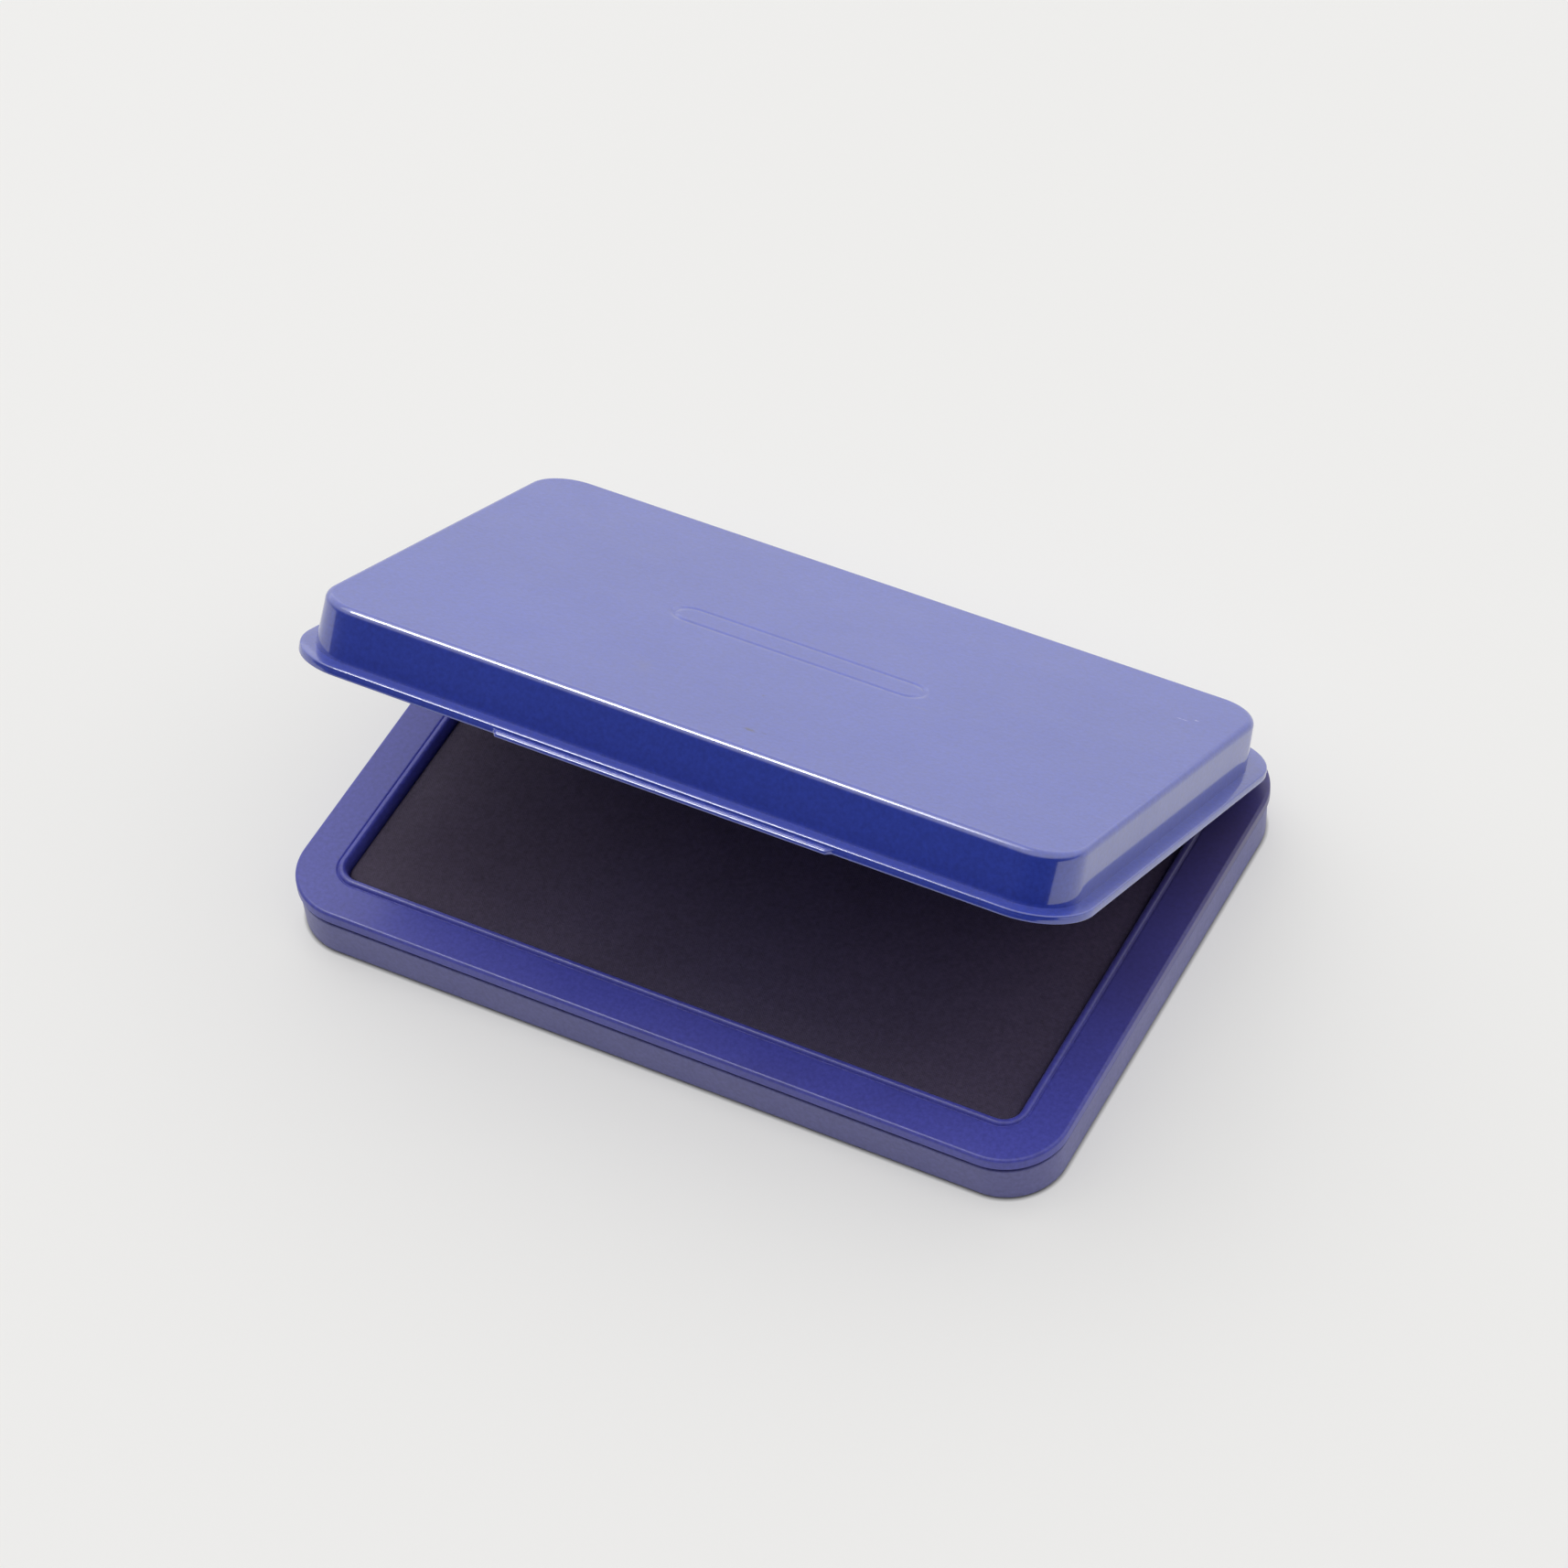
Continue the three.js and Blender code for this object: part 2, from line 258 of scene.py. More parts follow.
def blend_colour(nt, fac, a, b, mode="MIX"):
    n = nt.nodes.new("ShaderNodeMix")
    n.data_type, n.blend_type = "RGBA", mode
    for sock, v in ((n.inputs[0], fac), (n.inputs[6], a), (n.inputs[7], b)):
        if hasattr(v, "is_output"):
            nt.links.new(v, sock)
        else:
            sock.default_value = v
    return n.outputs[2]


def math_node(nt, op, a, b=0.0, clamp=False):
    n = nt.nodes.new("ShaderNodeMath")
    n.operation, n.use_clamp = op, clamp
    for sock, v in ((n.inputs[0], a), (n.inputs[1], b)):
        if hasattr(v, "is_output"):
            nt.links.new(v, sock)
        else:
            sock.default_value = v
    return n.outputs[0]


def noise_at(nt, coord, scale, detail=3, rough=0.5, distort=0.0):
    n = add(nt, "ShaderNodeTexNoise")
    n.inputs["Scale"].default_value = scale
    n.inputs["Detail"].default_value = detail
    n.inputs["Roughness"].default_value = rough
    n.inputs["Distortion"].default_value = distort
    nt.links.new(coord, n.inputs["Vector"])
    return n.outputs["Fac"]


def remap(nt, value, a, b, c, d):
    n = add(nt, "ShaderNodeMapRange")
    nt.links.new(value, n.inputs["Value"])
    for key, v in (("From Min", a), ("From Max", b), ("To Min", c), ("To Max", d)):
        n.inputs[key].default_value = v
    return n.outputs["Result"]


def blob(nt, coord, centre_mm, radius_mm, soft=0.5, wobble=0.5, stretch=(1, 1, 1), seed=0.0):
    """A mask, 1 inside an uneven patch round a point of the object, 0 outside."""
    mp = add(nt, "ShaderNodeMapping", vector_type="TEXTURE")
    mp.inputs["Location"].default_value = [c * MM for c in centre_mm]
    mp.inputs["Scale"].default_value = stretch
    nt.links.new(coord, mp.inputs["Vector"])
    ln = add(nt, "ShaderNodeVectorMath", operation="LENGTH")
    nt.links.new(mp.outputs["Vector"], ln.inputs[0])
    n = noise_at(nt, coord, 900 / radius_mm + seed, 3, 0.6)
    d = math_node(nt, "MULTIPLY_ADD", n, wobble * radius_mm * MM * 2)
    nt.nodes[-1].inputs[2].default_value = -wobble * radius_mm * MM
    total = math_node(nt, "ADD", ln.outputs["Value"], d)
    return remap(nt, total, radius_mm * MM * (1 - soft), radius_mm * MM, 1, 0)


def paint(name, colour, tint, rough=0.34, coat=0.0, coat_rough=0.14, grain=0.5, coat_ior=1.5, spec=0.5, marks=None, ink=0.0):
    """Stove enamel over pressed sheet: faint cloudiness, fine orange peel, small changes in gloss."""
    m, nt, bsdf = nodes_of(name)
    coord = add(nt, "ShaderNodeTexCoord").outputs["Object"]
    cloud = noise_at(nt, coord, 26, 4, 0.55)
    fine = noise_at(nt, coord, 1500, 2, 0.6)
    col = blend_colour(nt, remap(nt, cloud, 0.35, 0.68, 0, 1), colour, tint)
    speckle = remap(nt, fine, 0.3, 0.7, 0.87, 1.13)
    comb = add(nt, "ShaderNodeCombineColor")
    for i in range(3):
        nt.links.new(speckle, comb.inputs[i])
    col = blend_colour(nt, 1.0, col, comb.outputs[0], "MULTIPLY")
    if ink:
        film = remap(nt, noise_at(nt, coord, 60, 5, 0.65, 0.6), 0.5, 0.75, 0, ink)
        col = blend_colour(nt, film, col, (0.03, 0.018, 0.05, 1))
    rough_out = remap(nt, noise_at(nt, coord, 90, 4, 0.6), 0.3, 0.7, rough * 0.9, rough * 1.12)
    if marks:
        for centre, radius, colour_m, strength, stretch, soft, wob in marks:
            mask = math_node(nt, "MULTIPLY", blob(nt, coord, centre, radius, soft, wob, stretch), strength)
            col = blend_colour(nt, mask, col, colour_m)
    nt.links.new(col, bsdf.inputs["Base Color"])
    nt.links.new(rough_out, bsdf.inputs["Roughness"])
    bsdf.inputs["Specular IOR Level"].default_value = spec
    bsdf.inputs["Coat Weight"].default_value = coat
    bsdf.inputs["Coat IOR"].default_value = coat_ior
    bsdf.inputs["Coat Roughness"].default_value = coat_rough
    peel = noise_at(nt, coord, 1100, 2, 0.5)
    micro = noise_at(nt, coord, 4200, 2, 0.5)
    h = math_node(nt, "ADD", peel, math_node(nt, "MULTIPLY", micro, 0.35))
    bump = add(nt, "ShaderNodeBump")
    bump.inputs["Strength"].default_value = grain
    bump.inputs["Distance"].default_value = 0.000012
    nt.links.new(h, bump.inputs["Height"])
    nt.links.new(bump.outputs[0], bsdf.inputs["Normal"])
    return m


def cloth_material():
    """Fine plain weave soaked in ink: thread-scale bump, uneven wetness, a little violet in the threads."""
    m, nt, bsdf = nodes_of("inked_cloth")
    coord = add(nt, "ShaderNodeTexCoord").outputs["Object"]
    sep = add(nt, "ShaderNodeSeparateXYZ")
    nt.links.new(coord, sep.inputs[0])
    wob = noise_at(nt, coord, 120, 2)
    pitch = 2 * math.pi / 0.00036
    jit = math_node(nt, "MULTIPLY", wob, 0.0006)
    warp = math_node(nt, "SINE", math_node(nt, "MULTIPLY", math_node(nt, "ADD", sep.outputs[0], jit), pitch))
    weft = math_node(nt, "SINE", math_node(nt, "MULTIPLY", math_node(nt, "ADD", sep.outputs[1], jit), pitch))
    weave = math_node(nt, "MULTIPLY", warp, weft)
    damp = noise_at(nt, coord, 34, 5, 0.6, 0.4)
    col = blend_colour(nt, remap(nt, damp, 0.35, 0.7, 0, 1), lin(63, 53, 72), lin(73, 62, 83))
    blot = noise_at(nt, coord, 11, 3, 0.5)
    col = blend_colour(nt, remap(nt, blot, 0.45, 0.7, 0, 0.5), col, lin(50, 46, 74))
    slub = noise_at(nt, coord, 1350, 3, 0.7, 0.4)
    lumps = math_node(nt, "MULTIPLY", math_node(nt, "SUBTRACT", slub, 0.5), 3.4)
    grain = math_node(nt, "ADD", math_node(nt, "MULTIPLY", weave, 0.5), math_node(nt, "ADD", lumps, noise_at(nt, coord, 3000, 2)))
    thread = remap(nt, grain, -1, 2, 0.54, 1.46)
    comb = add(nt, "ShaderNodeCombineColor")
    for i in range(3):
        nt.links.new(thread, comb.inputs[i])
    col = blend_colour(nt, 1.0, col, comb.outputs[0], "MULTIPLY")
    nt.links.new(col, bsdf.inputs["Base Color"])
    nt.links.new(remap(nt, damp, 0.3, 0.75, 0.78, 0.6), bsdf.inputs["Roughness"])
    bsdf.inputs["Specular IOR Level"].default_value = 0.3
    bsdf.inputs["Sheen Weight"].default_value = 0.12
    bsdf.inputs["Sheen Roughness"].default_value = 0.45
    bsdf.inputs["Sheen Tint"].default_value = lin(150, 140, 190)
    bump = add(nt, "ShaderNodeBump")
    bump.inputs["Strength"].default_value = 0.55
    bump.inputs["Distance"].default_value = 0.00005
    nt.links.new(grain, bump.inputs["Height"])
    nt.links.new(bump.outputs[0], bsdf.inputs["Normal"])
    return m


def felt_material(name, dark, light):
    m, nt, bsdf = nodes_of(name)
    coord = add(nt, "ShaderNodeTexCoord").outputs["Object"]
    fibre = noise_at(nt, coord, 700, 6, 0.75, 1.5)
    col = blend_colour(nt, remap(nt, fibre, 0.3, 0.7, 0, 1), dark, light)
    nt.links.new(col, bsdf.inputs["Base Color"])
    nt.links.new(remap(nt, noise_at(nt, coord, 40, 3), 0.3, 0.7, 0.85, 0.98), bsdf.inputs["Roughness"])
    bsdf.inputs["Sheen Weight"].default_value = 0.3
    bump = add(nt, "ShaderNodeBump")
    bump.inputs["Strength"].default_value = 0.9
    bump.inputs["Distance"].default_value = 0.00015
    nt.links.new(fibre, bump.inputs["Height"])
    nt.links.new(bump.outputs[0], bsdf.inputs["Normal"])
    return m


def wire_material():
    m, nt, bsdf = nodes_of("bright_wire")
    coord = add(nt, "ShaderNodeTexCoord").outputs["Object"]
    mp = add(nt, "ShaderNodeMapping")
    mp.inputs["Scale"].default_value = (60, 3000, 3000)
    nt.links.new(coord, mp.inputs["Vector"])
    draw = noise_at(nt, mp.outputs[0], 1.0, 3)
    col = blend_colour(nt, remap(nt, draw, 0.3, 0.7, 0, 1), lin(176, 178, 184), lin(205, 207, 212))
    nt.links.new(col, bsdf.inputs["Base Color"])
    bsdf.inputs["Metallic"].default_value = 1.0
    nt.links.new(remap(nt, draw, 0.3, 0.7, 0.24, 0.4), bsdf.inputs["Roughness"])
    return m


def board_material():
    # matt off-white plastic, stained where ink has reached it
    m, nt, bsdf = nodes_of("carrier_plastic")
    coord = add(nt, "ShaderNodeTexCoord").outputs["Object"]
    fine = noise_at(nt, coord, 320, 4, 0.6)
    stain = noise_at(nt, coord, 40, 5, 0.6)
    col = blend_colour(nt, remap(nt, fine, 0.3, 0.7, 0, 1), lin(172, 170, 163), lin(178, 176, 168))
    col = blend_colour(nt, remap(nt, stain, 0.45, 0.62, 0, 0.85), col, lin(52, 44, 78))
    nt.links.new(col, bsdf.inputs["Base Color"])
    nt.links.new(remap(nt, fine, 0.3, 0.7, 0.55, 0.65), bsdf.inputs["Roughness"])
    bump = add(nt, "ShaderNodeBump")
    bump.inputs["Strength"].default_value = 0.2
    bump.inputs["Distance"].default_value = 0.00002
    nt.links.new(fine, bump.inputs["Height"])
    nt.links.new(bump.outputs[0], bsdf.inputs["Normal"])
    return m


LID_MARKS = []                                     # centre where it lies at rest, radius, colour, strength, stretch, softness, unevenness


def on_lid(x, y):
    """A point of the lid's top, given from the middle of the shut lid, where it lies at rest."""
    return tuple(swing([[x, (RIM_F + RIM_B) / 2 + y, SEAT + LID_H]])[0])


INK = (0.012, 0.012, 0.05, 1)
for x, y, rad, colour, strength, stretch, soft, wob in (
    (7.4, -31.0, 0.75, INK, 0.75, (1.6, 0.8, 1), 0.8, 0.9),
    (9.6, -30.6, 0.35, INK, 0.5, (1.6, 0.8, 1), 0.8, 0.9),
    (3.5, -18.8, 0.4, INK, 0.55, (0.8, 1.6, 1), 0.8, 0.9),
    (-13.3, -22.7, 2.6, lin(60, 68, 140), 0.4, (0.8, 1.5, 1), 1.0, 1.3),
    (21.4, -4.9, 0.9, lin(70, 78, 150), 0.5, (1.6, 0.5, 1), 0.9, 1.0),
    (50.4, 22.2, 0.42, lin(190, 194, 228), 0.4, (2.6, 0.3, 1), 1.0, 1.3),
    (52.0, 23.4, 0.3, lin(190, 194, 228), 0.35, (1.6, 1.0, 1), 1.0, 1.5),
):
    LID_MARKS.append((on_lid(x, y), rad, colour, strength, stretch, soft, wob))

mat_lid = paint("lid_enamel", lin(38, 58, 163), lin(41, 62, 169), rough=0.36, coat=1.0, coat_rough=0.085, grain=0.9, coat_ior=2.0, spec=0.18, marks=LID_MARKS)
FRAME_SHADE_AND_INK = [
    # greyer, darker violet on the frame's right and right rear, where it lies in the lid's shade: painted shade and
    # painted reflection of the lid's underside, with some ink film where stamps and fingers reach in under the lid
    ((57.5, 26.0, 9.3), 46.0, lin(70, 58, 84), 0.75, (1, 1, 1), 1.0, 0.15),
    ((59.0, -6.0, 9.3), 30.0, lin(66, 56, 96), 0.35, (1, 1, 1), 1.0, 0.2),
]
mat_frame = paint("frame_enamel", lin(70, 73, 164), lin(75, 77, 169), rough=0.35, coat=0.12, coat_rough=0.16, grain=0.6, spec=0.42, marks=FRAME_SHADE_AND_INK, ink=0.2)
mat_tray = paint("tray_enamel", lin(88, 89, 150), lin(94, 94, 154), rough=0.42, coat=0.1, coat_rough=0.25, grain=0.8)
mat_hinge = paint("hinge_enamel", lin(58, 64, 140), lin(64, 70, 148), rough=0.36, coat=0.2, coat_rough=0.2, grain=0.6)
mat_cloth = cloth_material()
mat_felt = felt_material("ink_felt", lin(26, 22, 40), lin(48, 42, 66))
mat_wire = wire_material()
mat_board = board_material()


def dress(ob, material, body, slot_name, *stands_for):
    ob.data.materials.clear()
    ob.data.materials.append(material)
    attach(ob, body)
    if stands_for:
        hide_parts(*stands_for)
    return ob


# ------------------------------------------------------------------ lower tray
XS = spread((-52, 52, 4.3))
YS = spread((-33, 33, 4.1))


def case(inset, z, cut=0.0):
    return [HX - inset, -HY + inset, HY - inset, max(CASE_R - inset, 0.6), z, cut]


TRAY_TOP, LIP = 6.45, 8.4                          # top of the tray's wall, and of the lip that goes up inside the frame
tray_rows = rounded([
    case(5.0, 0), case(0.62, 0, 0.62), case(0.36, TRAY_TOP, 0.2),
    case(1.0, TRAY_TOP, 0.1), case(0.95, LIP, 0.1), case(1.45, LIP, 0.1), case(1.45, TRAY_TOP - 0.5, 0.1),
    case(0.88, TRAY_TOP - 0.6, 0.12), case(1.12, 1.3, 0.4), case(1.9, SHEET, 0.5), case(5.0, SHEET),
])
tray = loft("tray_shell", tray_rows, XS, YS)
dress(tray, mat_tray, "base", "tray_paint", "base_tray")


# ------------------------------------------------------------------ pad frame
def hole(out, z, cut=0.0):
    return [OPEN_X + out, -OPEN_Y - out, OPEN_Y + out, OPEN_R + out, z, cut]


T = FRAME_TOP
frame_rows = [
    case(0.0, SKIRT, 0.12), case(0.0, T, 0.5), hole(BEAD_W + 0.42, T, 0.16), hole(BEAD_W + 0.2, T - 0.14, 0.07),
    hole(BEAD_W - 0.06, T + BEAD_H, 0.36), hole(0.55, T + BEAD_H + 0.05, 0.4), hole(0.0, T - 0.55, 0.6), hole(0.0, SKIRT, 0.1),
    hole(SHEET, SKIRT, 0.1), hole(SHEET, T - SHEET, 0.3), case(SHEET, T - SHEET, 0.3), case(SHEET, SKIRT, 0.1),
]
frame_rows.append(frame_rows[0])


def frame_move(co):
    # pressed sheet is never dead flat: a few hundredths of a millimetre of sag between the corners
    top = smooth((co[:, 2] - (T - 1.2)) / 0.9)
    along = np.cos(np.clip(co[:, 0] / HX, -1, 1) * math.pi / 2) * np.cos(np.clip(co[:, 1] / HY, -1, 1) * math.pi / 2)
    co[:, 2] -= 0.03 * top * along
    return co


frame_ob = loft("pad_frame_shell", rounded(frame_rows), XS, YS, closed=True, move=frame_move)
dress(frame_ob, mat_frame, "base", "frame_paint", "pad_frame")

# ------------------------------------------------------------------ pad: cover, felts
PAD_X, PAD_Y = OPEN_X - 0.06, OPEN_Y - 0.06


def pad_row(inset, z, cut=0.0):
    return [PAD_X - inset, -PAD_Y + inset, PAD_Y - inset, max(2.2 - inset * 0.8, 0.5), z, cut]


PXS = spread((-51, 51, 1.1))
PYS = spread((-32, 32, 1.1))


def crown(co):
    """The cover swells a little over the felt, pulls down to its tucked edge, and isn't perfectly even."""
    out = co.copy()
    ex = 1 - np.abs(co[:, 0]) / PAD_X
    ey = 1 - np.abs(co[:, 1]) / PAD_Y
    rise = smooth(ex * 3.2) * smooth(ey * 2.6)
    top = smooth((co[:, 2] - 6.9) / 0.8)
    wave = np.array([noise.noise(Vector((x * 0.055, y * 0.055, 3.1))) for x, y, _ in co])
    ripple = np.array([noise.noise(Vector((x * 0.28, y * 0.28, 9.7))) for x, y, _ in co])
    out[:, 2] += top * (rise * 0.28 + 0.07 * wave * rise + 0.018 * ripple)
    return out


cover_rows = rounded([
    pad_row(2.4, 8.15), pad_row(0.02, 8.15, 0.8), pad_row(0.0, 2.0, 0.15),
    pad_row(0.55, 2.0, 0.15), pad_row(0.6, 7.6, 0.7), pad_row(2.4, 7.6),
], steps=8)
cover = loft("pad_cover", cover_rows, PXS, PYS, move=crown)


def puff(ob):
    """Air from below: the cover is run as cloth held at its tucked edge, then kept within a fraction of a millimetre."""
    co = np.array([v.co for v in ob.data.vertices], float)
    body = bpy.data.objects.new("cover_run", ob.data.copy())
    bpy.context.scene.collection.objects.link(body)
    held = body.vertex_groups.new(name="held")
    free = np.array([v.normal.z > 0.6 for v in ob.data.vertices])
    free &= (np.abs(co[:, 0] / MM) < PAD_X - 1.2) & (np.abs(co[:, 1] / MM) < PAD_Y - 1.2)
    held.add([int(i) for i in np.nonzero(~free)[0]], 1.0, "REPLACE")
    mod = body.modifiers.new("cloth", "CLOTH")
    s = mod.settings
    s.quality = 4
    s.mass = 0.3
    s.tension_stiffness = s.compression_stiffness = 25
    s.bending_stiffness = 0.6
    s.use_pressure = True
    s.uniform_pressure_force = 3.0
    s.effector_weights.gravity = 0.0
    s.vertex_group_mass = "held"
    mod.point_cache.frame_start, mod.point_cache.frame_end = 1, 14
    for f in range(1, 15):
        bpy.context.scene.frame_set(f)
    ev = body.evaluated_get(bpy.context.evaluated_depsgraph_get())
    new = np.array([v.co for v in ev.data.vertices], float)
    bpy.context.scene.frame_set(1)
    bpy.data.objects.remove(body)
    step = new - co
    if not np.isfinite(step).all():
        return
    length = np.linalg.norm(step, axis=1, keepdims=True)
    cap = 0.22 * MM
    step *= np.minimum(1, cap / np.maximum(length, 1e-12))
    step[~free] = 0
    for v, p in zip(ob.data.vertices, co + step):
        v.co = p


puff(cover)
dress(cover, mat_cloth, "base", "pad_fabric", "pad_cloth")


def felt(name, z0, z1, inset, node, seed):
    rows = rounded([
        pad_row(inset + 2.5, z0), pad_row(inset, z0, 0.35), pad_row(inset, z1, 0.7), pad_row(inset + 2.5, z1),
    ], steps=4)

    def rough_edge(co):
        for p in co:
            n = noise.noise(Vector((p[0] * 0.9 + seed, p[1] * 0.9, p[2] * 0.9)))
            p[0] -= abs(n) * 0.12 * math.copysign(1, p[0])
            p[1] -= abs(n) * 0.12 * math.copysign(1, p[1])
        return co

    ob = loft(name, rows, XS, YS, move=rough_edge)
    dress(ob, mat_felt, "base", "ink_felt", node)
    return ob


felt("felt_core", 2.0, 5.0, 1.3, "ink_felt_core", 0.0)
felt("felt_top", 5.3, 7.2, 1.3, "top_felt", 17.0)

board = frame["nodes"]["pad_carrier"]
board.data.materials.clear()
board.data.materials.append(mat_board)

# ------------------------------------------------------------------ lid
LX = spread((-51.5, -27.0, 2.4), (-27.0, -24.6, 0.2), (-24.6, -20.6, 1.0), (-20.6, 20.6, 0.34), (20.6, 25.2, 1.1), (25.2, 27.6, 0.2), (27.6, 51.5, 2.4))
LY = spread((-31.5, -4.2, 2.5), (-4.2, 3.2, 0.2), (3.2, 28.5, 2.5))


def rim(inset, z, cut=0.0):
    return [HX - inset, RIM_F + inset, RIM_B - inset, max(RIM_R - inset, 0.6), SEAT + z, cut]


def wall(t, inset, z, cut=0.0):
    return [HX - 2.25 - 0.25 * t - inset, RIM_F + 2.2 + 0.85 * t + inset, RIM_B - 4.4 - 0.9 * t - inset,
            max(7.4 - 0.6 * t - inset, 0.6), SEAT + z, cut]


TAB0, TAB1, TAB_OUT = -25.9, 26.4, 1.0
S = SHEET
lid_rows = rounded([
    wall(1, 4.0, LID_H), wall(1, 0, LID_H, 0.95), wall(0, 0, RIM_H + 0.04),
    rim(0.9, RIM_H, 0.5), rim(0.06, RIM_H - 0.1, 0.19), rim(0.0, 0.745, 0.03),
    rim(-0.01, 0.725), rim(-0.01, 0.70), rim(-0.015, 0.66), rim(-0.02, 0.60), rim(-0.02, 0.52), rim(-0.02, 0.42),
    rim(-0.02, 0.30), rim(-0.02, 0.16), rim(0.02, 0.07), rim(0.1, 0.01), rim(0.25, 0.0),
    rim(0.7, 0.0, 0.1), rim(0.7, RIM_H - S, 0.25), wall(0, S, RIM_H - S, 0.45),
    wall(1, S, LID_H - S, 0.5), wall(1, 4.0, LID_H - S),
], steps=7, guard=0.08)


def lid_move(co):
    x, y, z = co[:, 0].copy(), co[:, 1].copy(), co[:, 2] - SEAT
    # thumb tab: the skirt's lower half steps forward under the rim, with a rounded nose and eased ends
    along = smooth((x - TAB0) / 0.8) * smooth((TAB1 - x) / 0.8)
    low = (z < 0.735) * (y < RIM_F + 0.3)
    nose = 0.45 + 0.55 * np.sqrt(1 - np.clip((z - 0.42) / 0.305, 0, 1) ** 2)
    co[:, 1] -= (TAB_OUT - 0.03) * along * low * nose * (1 - 0.1 * smooth((0.12 - z) / 0.12))
    # the top is crowned by a tenth of a millimetre, and has a plain long outline pressed into it
    cy = (RIM_F + RIM_B) / 2
    topness = smooth((z - (LID_H - S - 0.35)) / 0.3)
    ux, uy = np.clip(np.abs(x) / (HX - 4), 0, 1), np.clip(np.abs(y - cy) / 36.5, 0, 1)
    co[:, 2] += 0.10 * topness * (1 - ux ** 2) * (1 - uy ** 2)
    off = np.hypot(np.maximum(np.abs(x) - 17.0, 0), y - cy) - 2.6
    co[:, 2] -= 0.17 * topness * np.exp(-(off / 0.34) ** 2)
    return co


def lid_all(co):
    return swing(lid_move(co))


lid = loft("lid_skin", lid_rows, LX, LY, move=lid_all)
dress(lid, mat_lid, "lid", "lid_paint", "lid_shell")


# ------------------------------------------------------------------ hinges
def ribbon(name, path, x0, x1, thick, dimples=(), nx=None):
    """A strip of sheet: a path in the YZ plane given thickness and swept along X, with softened edges."""
    P = np.array(path, float)
    tan = np.gradient(P, axis=0)
    tan /= np.linalg.norm(tan, axis=1, keepdims=True)
    nor = np.stack([-tan[:, 1], tan[:, 0]], 1)
    e = 0.07
    nx = nx or max(2, round((x1 - x0) / 0.5))
    xs = [x0, x0 + e] + [x0 + e + (x1 - x0 - 2 * e) * i / nx for i in range(1, nx)] + [x1 - e, x1]
    verts, faces = [], []
    m = len(P)
    for x in xs:
        t = thick / 2 - (e if x in (x0, x1) else 0)
        upper, lower = [], []
        for k, (p, n) in enumerate(zip(P, nor)):
            tk = t - (e if k in (0, m - 1) else 0)
            d = 0.0
            for dx, ds, rad, deep in dimples:
                r2 = (x - dx) ** 2 + (np.linalg.norm(P[k] - np.array(ds))) ** 2
                d += deep * math.exp(-r2 / (rad * rad))
            upper.append((x, *(p + n * (tk - d))))
            lower.append((x, *(p - n * (tk + d * 0.6))))
        verts += upper + lower[::-1]
    n = 2 * m
    for i in range(len(xs) - 1):
        for k in range(n):
            j = (k + 1) % n
            faces.append((i * n + k, i * n + j, (i + 1) * n + j, (i + 1) * n + k))
    for i in (0, len(xs) - 1):
        for k in range(m - 1):
            faces.append((i * n + k, i * n + k + 1, i * n + n - 2 - k, i * n + n - 1 - k))
    return np.array(verts), faces


def curl(a0, a1, r, steps=26):
    return [(HINGE_Y + r * math.cos(math.radians(a0 + (a1 - a0) * i / steps)),
             HINGE_Z + r * math.sin(math.radians(a0 + (a1 - a0) * i / steps))) for i in range(steps + 1)]


def join(name, parts, sharp=40):
    verts, faces, base = [], [], 0
    for v, f in parts:
        verts.append(v)
        faces += [tuple(i + base for i in q) for q in f]
        base += len(v)
    return solid(name, np.concatenate(verts), faces, sharp, merge=0.0005)


